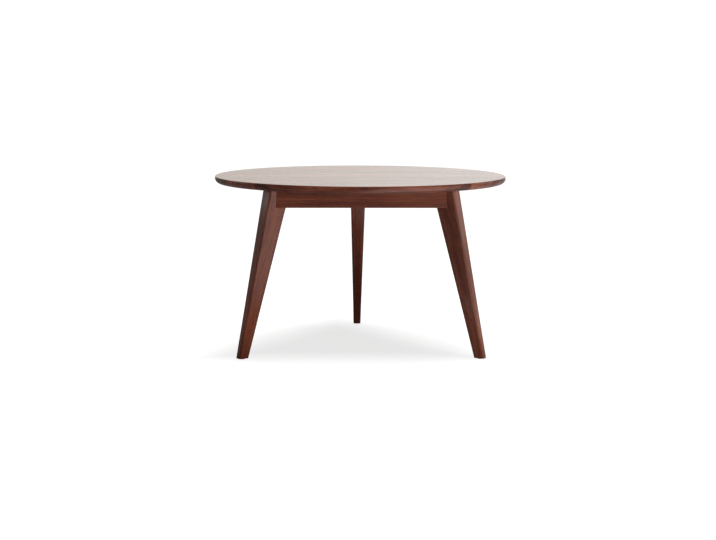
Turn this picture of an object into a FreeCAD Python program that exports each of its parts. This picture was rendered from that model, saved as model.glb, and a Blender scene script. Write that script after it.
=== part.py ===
# Round cocktail table: an edge-glued round top on three splayed, tapered legs.
# Straight rails join the legs, and corner blocks with hanger bolts pull each leg in.
# Millimetres, +Z up, origin on the floor under the middle of the top.

import FreeCAD, Part
import math
import os

from FreeCAD import Vector

# Whole table
TABLE_HEIGHT = 457.0
TOP_DIAMETER = 762.0

# Round top, glued up from boards that run along X
TOP_THICKNESS = 18.0
TOP_UPPER_ARRIS = 2.5
TOP_ARRIS_FLATS = 3
TOP_UNDER_ROUND = 12.0
BOARD_COUNT = 7

# Legs: insets are from the rim of the top to the leg's outer face
LEG_FOOT_INSET = 15.5
LEG_TOP_INSET = 105.0
LEG_FOOT_WIDTH = 28.0
LEG_TOP_WIDTH = 59.0
LEG_FOOT_THICKNESS = 20.0
LEG_TOP_THICKNESS = 44.0
LEG_EDGE_RADIUS = 5.0

# Rails: the reveal is how far a leg stands proud of the rail's corner, under the top
RAIL_HEIGHT = 55.0
RAIL_THICKNESS = 19.0
RAIL_REVEAL = 15.0
RAIL_ARRIS = 2.0

# Corner blocks: they stop short of the rail's lower edge and of the top
BLOCK_DEPTH = 38.0
BLOCK_RISE = 4.0
BLOCK_DROP = 2.0

# Hanger bolts with their washers and nuts
BOLT_DIAMETER = 6.0
BOLT_SPACING = 26.0
BOLT_DEPTH_IN_LEG = 30.0
BOLT_PROUD = 3.0
BOLT_CHAMFER = 0.8
WASHER_DIAMETER = 12.0
WASHER_THICKNESS = 1.6
NUT_ACROSS_FLATS = 10.0
NUT_HEIGHT = 5.0
NUT_SIDES = 6

# Pan-head screws that hold the corner blocks to the rails
BLOCK_SCREW_DIAMETER = 4.0
BLOCK_SCREW_GRIP = 9.5
BLOCK_SCREW_DEPTH_IN_RAIL = 11.0
BLOCK_SCREW_SPACING = 24.0
BLOCK_SCREW_EDGE_MARGIN = 0.5
PAN_HEAD_DIAMETER = 8.0
PAN_HEAD_HEIGHT = 2.6
PAN_HEAD_BEVEL = 0.9

# Figure-eight clips: one lobe sits in the rail's upper edge, the other under the top
CLIP_RAIL_LOBE_DIAMETER = 17.0
CLIP_TOP_LOBE_DIAMETER = 15.0
CLIP_LOBE_SPACING = 14.0
CLIP_NECK_WIDTH = 8.0
CLIP_THICKNESS = 2.4
CLIP_INSET = 6.5
CLIP_PLACE_SHARE = 0.6

# Countersunk screws of the clips
CLIP_SCREW_DIAMETER = 4.0
CLIP_SCREW_HEAD_DIAMETER = 8.0
CLIP_RAIL_SCREW_LENGTH = 20.0
CLIP_TOP_SCREW_LENGTH = 14.0

# Foot glides, let into the feet, and their nails
GLIDE_DIAMETER = 15.0
GLIDE_THICKNESS = 3.0
GLIDE_RECESS = 1.5
GLIDE_EDGE_ROUND = 0.8
GLIDE_WEB = 1.2
NAIL_DIAMETER = 2.2
NAIL_DEPTH_IN_LEG = 15.0
NAIL_HEAD_DIAMETER = 5.0
NAIL_HEAD_HEIGHT = 0.9

# Clearances between fasteners and wood, and the overrun of every cut
THREAD_CLEARANCE = 0.15
BOLT_HOLE_CLEARANCE = 0.4
HEAD_CLEARANCE = 0.5
CLIP_CLEARANCE = 0.3
GLIDE_CLEARANCE = 0.15
TIP_CLEARANCE = 1.0
OVERRUN = 2.0

# Legs and rails go round the table, each rail between a leg and the next
LEG_NAMES = ("rear", "front_left", "front_right")
RAIL_NAMES = ("left", "front", "right")
FIRST_LEG_AZIMUTH = 90.0
LEG_STEP = 360.0 / len(LEG_NAMES)
RAIL_TURN = LEG_STEP / 2
COS_TURN = math.cos(math.radians(RAIL_TURN))
SIN_TURN = math.sin(math.radians(RAIL_TURN))

# Worked out from the sizes above: heights
TOP_RADIUS = TOP_DIAMETER / 2
UNDERSIDE = TABLE_HEIGHT - TOP_THICKNESS
LEG_BOTTOM = GLIDE_THICKNESS - GLIDE_RECESS
LEG_LENGTH = UNDERSIDE - LEG_BOTTOM
RAIL_BOTTOM = UNDERSIDE - RAIL_HEIGHT
BLOCK_BOTTOM = RAIL_BOTTOM + BLOCK_RISE
BLOCK_TOP = UNDERSIDE - BLOCK_DROP
BLOCK_MIDDLE = (BLOCK_BOTTOM + BLOCK_TOP) / 2
BOLT_HEIGHTS = (BLOCK_MIDDLE - BOLT_SPACING / 2, BLOCK_MIDDLE + BOLT_SPACING / 2)
SCREW_HEIGHTS = (BLOCK_MIDDLE - BLOCK_SCREW_SPACING / 2, BLOCK_MIDDLE + BLOCK_SCREW_SPACING / 2)

# Distances from the table's axis along a leg
LEG_FOOT_OUTER = TOP_RADIUS - LEG_FOOT_INSET
LEG_FOOT_INNER = LEG_FOOT_OUTER - LEG_FOOT_WIDTH
LEG_FOOT_MIDDLE = (LEG_FOOT_OUTER + LEG_FOOT_INNER) / 2
LEG_TOP_OUTER = TOP_RADIUS - LEG_TOP_INSET
LEG_TOP_INNER = LEG_TOP_OUTER - LEG_TOP_WIDTH
RAIL_BOTTOM_SHARE = (RAIL_BOTTOM - LEG_BOTTOM) / LEG_LENGTH
LEG_FLAT = LEG_FOOT_INNER + (LEG_TOP_INNER - LEG_FOOT_INNER) * RAIL_BOTTOM_SHARE
BLOCK_INNER = LEG_FLAT - BLOCK_DEPTH

# Distances from the table's axis square to a rail
RAIL_OUTER = (LEG_TOP_OUTER - RAIL_REVEAL) * COS_TURN + LEG_TOP_THICKNESS / 2 * SIN_TURN
RAIL_BACK = RAIL_OUTER - RAIL_THICKNESS
RAIL_MIDDLE = (RAIL_OUTER + RAIL_BACK) / 2
CLIP_RAIL_CENTRE = RAIL_BACK + CLIP_INSET
CLIP_TOP_CENTRE = CLIP_RAIL_CENTRE - CLIP_LOBE_SPACING

# Half widths of a corner block, and distances along a rail from its middle
BLOCK_OUTER_HALF = (RAIL_BACK - LEG_FLAT * COS_TURN) / SIN_TURN
BLOCK_INNER_HALF = (RAIL_BACK - BLOCK_INNER * COS_TURN) / SIN_TURN
BLOCK_CORNER = BLOCK_INNER * SIN_TURN - BLOCK_INNER_HALF * COS_TURN
SCREW_BORE_RADIUS = PAN_HEAD_DIAMETER / 2 + HEAD_CLEARANCE
SCREW_FROM_CORNER = SCREW_BORE_RADIUS + BLOCK_SCREW_GRIP * COS_TURN / SIN_TURN + BLOCK_SCREW_EDGE_MARGIN
SCREW_PLACE = BLOCK_CORNER + SCREW_FROM_CORNER
CLIP_PLACE = BLOCK_CORNER * CLIP_PLACE_SHARE

AXIS_X = Vector(1, 0, 0)
AXIS_Y = Vector(0, 1, 0)
AXIS_Z = Vector(0, 0, 1)
ORIGIN = Vector(0, 0, 0)


def leg_azimuth(index):
    """Direction of a leg, in degrees about the table's axis."""
    return FIRST_LEG_AZIMUTH + LEG_STEP * index


def rail_azimuth(index):
    """Direction that a rail faces: halfway between its leg and the next."""
    return leg_azimuth(index) + RAIL_TURN


def turned(shape, azimuth):
    """A copy of a shape, turned about the table's axis."""
    copy = shape.copy()
    copy.rotate(ORIGIN, AXIS_Z, azimuth)
    return copy


def flat_prism(corners, path):
    """Solid made by pushing a flat outline along a path."""
    outline = Part.makePolygon(corners + corners[:1])
    return Part.Face(outline).extrude(path)


def turned_solid(profile, start, direction):
    """Solid of revolution: radius and height pairs about an axis from a start point."""
    corners = [Vector(radius, 0, height) for radius, height in profile]
    outline = Part.makePolygon(corners + corners[:1])
    solid = Part.Face(outline).revolve(ORIGIN, AXIS_Z, 360)
    solid.Placement = FreeCAD.Placement(start, FreeCAD.Rotation(AXIS_Z, direction))
    return solid


def bore(diameter, clearance, start, direction, length):
    """Cylinder that cuts a hole for something of a given diameter."""
    return Part.makeCylinder(diameter / 2 + clearance, length, start, direction)


def save(name, solids):
    """Write one piece, or a group of like pieces, as a node."""
    group = Part.makeCompound(solids)
    group.exportStep(os.path.join("parts", name + ".step"))


# Top


def top_disc():
    """The round top before it is parted into boards: upper edge eased by flats, round under the rim."""
    arris = []
    for step in range(TOP_ARRIS_FLATS + 1):
        angle = math.pi / 2 * step / TOP_ARRIS_FLATS
        out = Vector(math.sin(angle) - 1, 0, math.cos(angle) - 1) * TOP_UPPER_ARRIS
        arris.append(Vector(TOP_RADIUS, 0, TABLE_HEIGHT) + out)
    slant = math.sqrt(0.5)
    round_centre = Vector(TOP_RADIUS - TOP_UNDER_ROUND, 0, UNDERSIDE + TOP_UNDER_ROUND)
    round_middle = round_centre + Vector(slant, 0, -slant) * TOP_UNDER_ROUND
    rim_low = Vector(TOP_RADIUS, 0, round_centre.z)
    under_end = Vector(round_centre.x, 0, UNDERSIDE)
    upper_line = Part.makePolygon([Vector(0, 0, TABLE_HEIGHT)] + arris + [rim_low])
    under_round = Part.Arc(rim_low, round_middle, under_end).toShape()
    lower_line = Part.makePolygon([under_end, Vector(0, 0, UNDERSIDE), Vector(0, 0, TABLE_HEIGHT)])
    profile = Part.Wire(upper_line.Edges + [under_round] + lower_line.Edges)
    return Part.Face(profile).revolve(ORIGIN, AXIS_Z, 360)


def clip_top_screw_holes():
    """Pilot holes in the top's underside for the clips' upper screws."""
    depth = CLIP_TOP_SCREW_LENGTH - CLIP_THICKNESS + TIP_CLEARANCE
    holes = []
    for place in (-CLIP_PLACE, CLIP_PLACE):
        start = Vector(CLIP_TOP_CENTRE, place, UNDERSIDE - OVERRUN)
        hole = bore(CLIP_SCREW_DIAMETER, THREAD_CLEARANCE, start, AXIS_Z, depth + OVERRUN)
        holes.extend(turned(hole, rail_azimuth(index)) for index in range(len(RAIL_NAMES)))
    return holes


def top_boards():
    """The boards of the top, from front to back."""
    disc = top_disc().cut(clip_top_screw_holes())
    width = TOP_DIAMETER / BOARD_COUNT
    boards = []
    for index in range(BOARD_COUNT):
        corner = Vector(-TOP_RADIUS, index * width - TOP_RADIUS, UNDERSIDE)
        strip = Part.makeBox(TOP_DIAMETER, width, TOP_THICKNESS, corner)
        boards.append(disc.common(strip))
    return boards


# Legs and rails


def leg_slab(inner, outer):
    """Room between a leg's two wide faces, from one distance along the leg to another."""
    foot_half = LEG_FOOT_THICKNESS / 2
    top_half = LEG_TOP_THICKNESS / 2
    corners = [
        Vector(inner, -foot_half, LEG_BOTTOM),
        Vector(inner, foot_half, LEG_BOTTOM),
        Vector(inner, top_half, UNDERSIDE),
        Vector(inner, -top_half, UNDERSIDE),
    ]
    return flat_prism(corners, AXIS_X * (outer - inner))


def leg():
    """One leg along +X: tapered both ways, edges rounded, upper inner face planed upright."""
    reach = max(LEG_FOOT_THICKNESS, LEG_TOP_THICKNESS)
    side_view = [
        Vector(LEG_FOOT_INNER, -reach, LEG_BOTTOM),
        Vector(LEG_FOOT_OUTER, -reach, LEG_BOTTOM),
        Vector(LEG_TOP_OUTER, -reach, UNDERSIDE),
        Vector(LEG_TOP_INNER, -reach, UNDERSIDE),
    ]
    blank = flat_prism(side_view, AXIS_Y * (2 * reach)).common(leg_slab(0, TOP_RADIUS))
    long_edges = [edge for edge in blank.Edges if edge.BoundBox.ZLength > LEG_LENGTH / 2]
    rounded = blank.makeFillet(LEG_EDGE_RADIUS, long_edges)
    planed_off = Part.makeBox(LEG_FLAT, 2 * reach, LEG_LENGTH, Vector(0, -reach, LEG_BOTTOM))
    return rounded.cut([planed_off] + leg_bolt_holes() + leg_foot_cuts())


def leg_bolt_holes():
    """Pilot holes for the hanger bolts, square into the leg's planed face."""
    length = OVERRUN + BOLT_DEPTH_IN_LEG + TIP_CLEARANCE
    starts = [Vector(LEG_FLAT - OVERRUN, 0, height) for height in BOLT_HEIGHTS]
    return [bore(BOLT_DIAMETER, THREAD_CLEARANCE, start, AXIS_X, length) for start in starts]


def leg_foot_cuts():
    """Recess for the glide under the foot, and the pilot hole for its nail."""
    start = Vector(LEG_FOOT_MIDDLE, 0, LEG_BOTTOM - OVERRUN)
    recess_length = OVERRUN + GLIDE_RECESS
    nail_length = recess_length + NAIL_DEPTH_IN_LEG + TIP_CLEARANCE
    return [
        bore(GLIDE_DIAMETER, GLIDE_CLEARANCE, start, AXIS_Z, recess_length),
        bore(NAIL_DIAMETER, THREAD_CLEARANCE, start, AXIS_Z, nail_length),
    ]


def rail():
    """One rail facing +X, its ends cut to the legs' wide faces."""
    half_length = RAIL_MIDDLE * SIN_TURN / COS_TURN
    corner = Vector(RAIL_BACK, -half_length, RAIL_BOTTOM)
    bar = Part.makeBox(RAIL_THICKNESS, 2 * half_length, RAIL_HEIGHT, corner)
    middle_height = (RAIL_BOTTOM + UNDERSIDE) / 2
    lower_edges = [
        edge for edge in bar.Edges
        if edge.BoundBox.YLength > half_length and edge.CenterOfMass.z < middle_height
    ]
    bar = bar.makeFillet(RAIL_ARRIS, lower_edges)
    slab = leg_slab(0, TOP_RADIUS)
    leg_rooms = [turned(slab, -RAIL_TURN), turned(slab, RAIL_TURN)]
    return bar.cut(leg_rooms + rail_clip_cuts() + rail_screw_holes())


def rail_clip_cuts():
    """Recesses for the clips in a rail's upper edge, with their screw holes."""
    floor = UNDERSIDE - CLIP_THICKNESS
    depth = CLIP_RAIL_SCREW_LENGTH - CLIP_THICKNESS + TIP_CLEARANCE
    cuts = []
    for place in (-CLIP_PLACE, CLIP_PLACE):
        cuts.append(clip_outline(place, CLIP_CLEARANCE, floor, CLIP_THICKNESS + OVERRUN))
        start = Vector(CLIP_RAIL_CENTRE, place, floor - depth)
        cuts.append(bore(CLIP_SCREW_DIAMETER, THREAD_CLEARANCE, start, AXIS_Z, depth + OVERRUN))
    return cuts


def rail_screw_holes():
    """Pilot holes for the corner blocks' screws, square into a rail's back."""
    length = OVERRUN + BLOCK_SCREW_DEPTH_IN_RAIL + TIP_CLEARANCE
    holes = []
    for place in (-SCREW_PLACE, SCREW_PLACE):
        for height in SCREW_HEIGHTS:
            start = Vector(RAIL_BACK - OVERRUN, place, height)
            holes.append(bore(BLOCK_SCREW_DIAMETER, THREAD_CLEARANCE, start, AXIS_X, length))
    return holes


# Corner blocks and their fasteners


def block_screw_spots():
    """Points on a rail's back, and directions into the rail, of the screws of the block along +X."""
    spots = []
    for side in (-1, 1):
        into_rail = Vector(COS_TURN, side * SIN_TURN, 0)
        along_rail = Vector(SIN_TURN, -side * COS_TURN, 0)
        for height in SCREW_HEIGHTS:
            spot = into_rail * RAIL_BACK + along_rail * SCREW_PLACE + AXIS_Z * height
            spots.append((spot, into_rail))
    return spots


def corner_block():
    """One block along +X, wedged between two rails' backs and a leg's planed face."""
    corners = [
        Vector(BLOCK_INNER, -BLOCK_INNER_HALF, BLOCK_BOTTOM),
        Vector(LEG_FLAT, -BLOCK_OUTER_HALF, BLOCK_BOTTOM),
        Vector(LEG_FLAT, BLOCK_OUTER_HALF, BLOCK_BOTTOM),
        Vector(BLOCK_INNER, BLOCK_INNER_HALF, BLOCK_BOTTOM),
    ]
    block = flat_prism(corners, AXIS_Z * (BLOCK_TOP - BLOCK_BOTTOM))
    cuts = []
    for height in BOLT_HEIGHTS:
        start = Vector(BLOCK_INNER - OVERRUN, 0, height)
        length = BLOCK_DEPTH + 2 * OVERRUN
        cuts.append(bore(BOLT_DIAMETER, BOLT_HOLE_CLEARANCE, start, AXIS_X, length))
    for spot, into_rail in block_screw_spots():
        seat = spot - into_rail * BLOCK_SCREW_GRIP
        length = BLOCK_SCREW_GRIP + OVERRUN
        cuts.append(bore(BLOCK_SCREW_DIAMETER, THREAD_CLEARANCE, seat, into_rail, length))
        cuts.append(bore(PAN_HEAD_DIAMETER, HEAD_CLEARANCE, seat, -into_rail, BLOCK_DEPTH))
    return block.cut(cuts)


def block_screws():
    """The four pan-head screws of the block along +X."""
    radius = BLOCK_SCREW_DIAMETER / 2
    head = PAN_HEAD_DIAMETER / 2
    length = BLOCK_SCREW_GRIP + BLOCK_SCREW_DEPTH_IN_RAIL
    profile = [
        (0, -PAN_HEAD_HEIGHT),
        (head - PAN_HEAD_BEVEL, -PAN_HEAD_HEIGHT),
        (head, PAN_HEAD_BEVEL - PAN_HEAD_HEIGHT),
        (head, 0),
        (radius, 0),
        (radius, length - BLOCK_SCREW_DIAMETER),
        (0, length),
    ]
    screws = []
    for spot, into_rail in block_screw_spots():
        screws.append(turned_solid(profile, spot - into_rail * BLOCK_SCREW_GRIP, into_rail))
    return screws


def hanger_bolts():
    """The two hanger bolts of the leg along +X, pointed in the leg and chamfered at the nut."""
    radius = BOLT_DIAMETER / 2
    inner_end = BLOCK_INNER - WASHER_THICKNESS - NUT_HEIGHT - BOLT_PROUD
    length = LEG_FLAT + BOLT_DEPTH_IN_LEG - inner_end
    profile = [
        (0, 0),
        (radius - BOLT_CHAMFER, 0),
        (radius, BOLT_CHAMFER),
        (radius, length - BOLT_DIAMETER),
        (0, length),
    ]
    starts = [Vector(inner_end, 0, height) for height in BOLT_HEIGHTS]
    return [turned_solid(profile, start, AXIS_X) for start in starts]


def bolt_washers():
    """The two washers of the leg along +X, flat on the corner block."""
    washers = []
    for height in BOLT_HEIGHTS:
        start = Vector(BLOCK_INNER - WASHER_THICKNESS, 0, height)
        disc = Part.makeCylinder(WASHER_DIAMETER / 2, WASHER_THICKNESS, start, AXIS_X)
        hole = bore(BOLT_DIAMETER, BOLT_HOLE_CLEARANCE, start - AXIS_X * OVERRUN, AXIS_X,
                    WASHER_THICKNESS + 2 * OVERRUN)
        washers.append(disc.cut(hole))
    return washers


def bolt_nuts():
    """The two hex nuts of the leg along +X, with their corners turned off."""
    flat_radius = NUT_ACROSS_FLATS / 2
    side_turn = 2 * math.pi / NUT_SIDES
    corner_radius = flat_radius / math.cos(side_turn / 2)
    corner_rise = (corner_radius - flat_radius) * math.tan(side_turn / 2)
    chamfer_profile = [
        (0, 0),
        (flat_radius, 0),
        (corner_radius, corner_rise),
        (corner_radius, NUT_HEIGHT - corner_rise),
        (flat_radius, NUT_HEIGHT),
        (0, NUT_HEIGHT),
    ]
    nuts = []
    for height in BOLT_HEIGHTS:
        start = Vector(BLOCK_INNER - WASHER_THICKNESS - NUT_HEIGHT, 0, height)
        corners = []
        for side in range(NUT_SIDES):
            angle = side * side_turn
            corners.append(start + Vector(0, math.cos(angle), math.sin(angle)) * corner_radius)
        hexagon = flat_prism(corners, AXIS_X * NUT_HEIGHT)
        hole = bore(BOLT_DIAMETER, THREAD_CLEARANCE, start - AXIS_X * OVERRUN, AXIS_X,
                    NUT_HEIGHT + 2 * OVERRUN)
        nuts.append(hexagon.common(turned_solid(chamfer_profile, start, AXIS_X)).cut(hole))
    return nuts


# Clips between rails and top


def clip_outline(place, grow, floor, height):
    """Figure-eight prism of a clip on the rail facing +X, grown all round by a clearance."""
    rail_lobe = Part.makeCylinder(CLIP_RAIL_LOBE_DIAMETER / 2 + grow, height,
                                  Vector(CLIP_RAIL_CENTRE, place, floor))
    top_lobe = Part.makeCylinder(CLIP_TOP_LOBE_DIAMETER / 2 + grow, height,
                                 Vector(CLIP_TOP_CENTRE, place, floor))
    neck_half = CLIP_NECK_WIDTH / 2 + grow
    neck = Part.makeBox(CLIP_LOBE_SPACING, 2 * neck_half, height,
                        Vector(CLIP_TOP_CENTRE, place - neck_half, floor))
    return rail_lobe.fuse([top_lobe, neck]).removeSplitter()


def countersunk_profile(length, grow):
    """Radius and height pairs of a countersunk screw, head first."""
    radius = CLIP_SCREW_DIAMETER / 2 + grow
    head = CLIP_SCREW_HEAD_DIAMETER / 2 + grow
    return [
        (0, 0),
        (head, 0),
        (radius, head - radius),
        (radius, length - CLIP_SCREW_DIAMETER),
        (0, length),
    ]


def rail_fixings():
    """The two clips on the rail facing +X, their rail screws and their top screws."""
    floor = UNDERSIDE - CLIP_THICKNESS
    clips = []
    rail_screws = []
    top_screws = []
    for place in (-CLIP_PLACE, CLIP_PLACE):
        rail_head = Vector(CLIP_RAIL_CENTRE, place, UNDERSIDE)
        top_head = Vector(CLIP_TOP_CENTRE, place, floor)
        rail_profile = countersunk_profile(CLIP_RAIL_SCREW_LENGTH, 0)
        top_profile = countersunk_profile(CLIP_TOP_SCREW_LENGTH, 0)
        rail_hole = countersunk_profile(CLIP_RAIL_SCREW_LENGTH, THREAD_CLEARANCE)
        top_hole = countersunk_profile(CLIP_TOP_SCREW_LENGTH, THREAD_CLEARANCE)
        holes = [
            turned_solid(rail_hole, rail_head, -AXIS_Z),
            turned_solid(top_hole, top_head, AXIS_Z),
        ]
        clips.append(clip_outline(place, 0, floor, CLIP_THICKNESS).cut(holes))
        rail_screws.append(turned_solid(rail_profile, rail_head, -AXIS_Z))
        top_screws.append(turned_solid(top_profile, top_head, AXIS_Z))
    return clips, rail_screws, top_screws


# Feet


def foot_glide():
    """Glide under the leg along +X, with a recess that hides the nail's head."""
    radius = GLIDE_DIAMETER / 2
    start = Vector(LEG_FOOT_MIDDLE, 0, 0)
    disc = Part.makeCylinder(radius, GLIDE_THICKNESS, start)
    lower_edges = [edge for edge in disc.Edges if edge.BoundBox.ZMax < GLIDE_THICKNESS / 2]
    disc = disc.makeFillet(GLIDE_EDGE_ROUND, lower_edges)
    recess_depth = GLIDE_THICKNESS - GLIDE_WEB
    recess = bore(NAIL_HEAD_DIAMETER, HEAD_CLEARANCE, start - AXIS_Z * OVERRUN, AXIS_Z,
                  recess_depth + OVERRUN)
    hole = bore(NAIL_DIAMETER, THREAD_CLEARANCE, start, AXIS_Z, GLIDE_THICKNESS + OVERRUN)
    return disc.cut([recess, hole])


def glide_nail():
    """Nail up through the glide into the leg along +X."""
    radius = NAIL_DIAMETER / 2
    head = NAIL_HEAD_DIAMETER / 2
    length = GLIDE_WEB + NAIL_DEPTH_IN_LEG
    profile = [
        (0, -NAIL_HEAD_HEIGHT),
        (head, -NAIL_HEAD_HEIGHT),
        (head, 0),
        (radius, 0),
        (radius, length - NAIL_DIAMETER),
        (0, length),
    ]
    return turned_solid(profile, Vector(LEG_FOOT_MIDDLE, 0, GLIDE_THICKNESS - GLIDE_WEB), AXIS_Z)


# Assembly


def round_the_table(shapes, azimuth_of):
    """Copies of a sub-assembly's shapes at every leg or rail."""
    copies = []
    for index in range(len(LEG_NAMES)):
        copies.extend(turned(shape, azimuth_of(index)) for shape in shapes)
    return copies


def main():
    """Build every piece and write it to its own node."""
    os.makedirs("parts", exist_ok=True)
    for number, board in enumerate(top_boards(), start=1):
        save("top_board_" + str(number), [board])
    for index, name in enumerate(LEG_NAMES):
        save("leg_" + name, [turned(leg(), leg_azimuth(index))])
        save("corner_block_" + name, [turned(corner_block(), leg_azimuth(index))])
        save("foot_glide_" + name, [turned(foot_glide(), leg_azimuth(index))])
    for index, name in enumerate(RAIL_NAMES):
        save("rail_" + name, [turned(rail(), rail_azimuth(index))])
    clips, rail_screws, top_screws = rail_fixings()
    save("hanger_bolts", round_the_table(hanger_bolts(), leg_azimuth))
    save("bolt_washers", round_the_table(bolt_washers(), leg_azimuth))
    save("bolt_nuts", round_the_table(bolt_nuts(), leg_azimuth))
    save("block_screws", round_the_table(block_screws(), leg_azimuth))
    save("glide_nails", round_the_table([glide_nail()], leg_azimuth))
    save("top_clips", round_the_table(clips, rail_azimuth))
    save("clip_rail_screws", round_the_table(rail_screws, rail_azimuth))
    save("clip_top_screws", round_the_table(top_screws, rail_azimuth))


main()
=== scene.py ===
"""The round cocktail table, dressed for its picture.

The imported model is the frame. The top's boards, the legs and the glides are modelled again with
smooth, eased edges, the fastenings get their threads and drives, and every piece gets its finish.
All lengths are in metres.
"""
import logging
import math
import random
from contextlib import contextmanager
from dataclasses import dataclass, field
from enum import Enum
from functools import reduce
from typing import Any, Callable, Iterable, Iterator, Sequence

import bmesh
import bpy
from mathutils import Euler, Matrix, Vector


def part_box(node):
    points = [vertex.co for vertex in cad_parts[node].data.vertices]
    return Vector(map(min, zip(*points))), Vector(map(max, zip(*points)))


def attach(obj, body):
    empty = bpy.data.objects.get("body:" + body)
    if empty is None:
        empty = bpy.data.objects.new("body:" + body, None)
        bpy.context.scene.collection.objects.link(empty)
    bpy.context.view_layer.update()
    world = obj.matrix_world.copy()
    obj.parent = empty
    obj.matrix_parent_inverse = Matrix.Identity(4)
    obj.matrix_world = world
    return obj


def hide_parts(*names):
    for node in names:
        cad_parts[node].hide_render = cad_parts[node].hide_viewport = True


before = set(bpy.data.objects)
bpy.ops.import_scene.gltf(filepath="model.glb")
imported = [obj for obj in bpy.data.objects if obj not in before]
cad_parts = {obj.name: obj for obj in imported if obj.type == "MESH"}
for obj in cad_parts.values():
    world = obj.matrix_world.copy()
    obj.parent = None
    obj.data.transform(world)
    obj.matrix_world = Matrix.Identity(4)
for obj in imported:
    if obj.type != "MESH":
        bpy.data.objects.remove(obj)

Span = tuple[float, float]
Triple = tuple[float, float, float]
Colour = Triple
Profile = Sequence[tuple[float, float]]
Socket = bpy.types.NodeSocket
Piece = bpy.types.Object

LOG = logging.getLogger("cocktail_table")
BODY = "root"

# Shades
BLACK: Colour = (0.0, 0.0, 0.0)
MID_GREY: Colour = (0.5, 0.5, 0.5)
WHITE: Colour = (1.0, 1.0, 1.0)

# Distances within which points count as level or as one
HAIR = 1e-5
WELD = 1e-7
THREAD_WELD = 10 * WELD

# Directions, and the share of a normal along z past which a face is level
ALONG_X = Matrix.Rotation(math.pi / 2, 4, "Y")
ALONG_Y = Matrix.Rotation(math.pi / 2, 4, "Z")
HEAD_UP = Matrix.Rotation(math.pi, 4, "X")
LEG_TO_RAIL = math.pi / 3
LEVEL = 0.9999

# Wear and painted shade on eased edges: their attribute, and the shares of a normal over which they grow
WEAR_AND_SHADE = "wear_and_shade"
WEAR_AND_SHADE_START = 0.40
WEAR_AND_SHADE_SPAN = 0.3

# Angles in degrees past which an edge is shaded sharp
SHARP = 32.0
TURNED_SHARP = 40.0
HEX_SHARP = 20.0

# Shares: a bevel's profile, a drill's cone and tip, and a shank inside its thread
QUARTER_ROUND = 0.5
DRILL_CONE = 0.6
DRILL_TIP = 0.05
THREAD_FIT = 0.95

# Sides of a nut and of turned shapes
HEX = 6
DRILL_SIDES = 24
SHANK_SIDES = 28
BORE_SIDES = 32
WASHER_SIDES = 48
CLIP_SIDES = 56
GLIDE_SIDES = 64
NUT_SIDES = 72

# Colour sockets of a Mix node: its share, its two colours and its result
MIX_SHARE, MIX_FIRST, MIX_SECOND, MIX_RESULT = 0, 6, 7, 2


class Around(Enum):
    """A place round the table: its name and its direction from the table's axis, in degrees."""

    @property
    def label(self) -> str:
        """Name used in the pieces' names."""
        return self.value[0]

    @property
    def turn(self) -> Matrix:
        """Turn from +X to this direction."""
        return Matrix.Rotation(math.radians(self.value[1]), 4, "Z")


class Corner(Around):
    """The legs' places."""

    REAR = ("rear", 90.0)
    FRONT_LEFT = ("front_left", 210.0)
    FRONT_RIGHT = ("front_right", 330.0)


class Side(Around):
    """The rails' places."""

    LEFT = ("left", 150.0)
    FRONT = ("front", 270.0)
    RIGHT = ("right", 30.0)


class Joining(Enum):
    """How a tool changes a piece."""

    UNITE = "UNION"
    CUT = "DIFFERENCE"
    COMMON = "INTERSECT"


class Draw(random.Random):
    """Seeded chance."""

    def within(self, reach: float) -> float:
        """Draw a value between minus reach and reach."""
        return self.uniform(-reach, reach)


@dataclass(frozen=True)
class Noise:
    """A noise: features per metre along each axis, its finer layers and their weight, and its usual range."""

    stretch: Triple
    detail: float = 1.0
    rough: float = 0.5
    span: Span = (0.3, 0.7)


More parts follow.
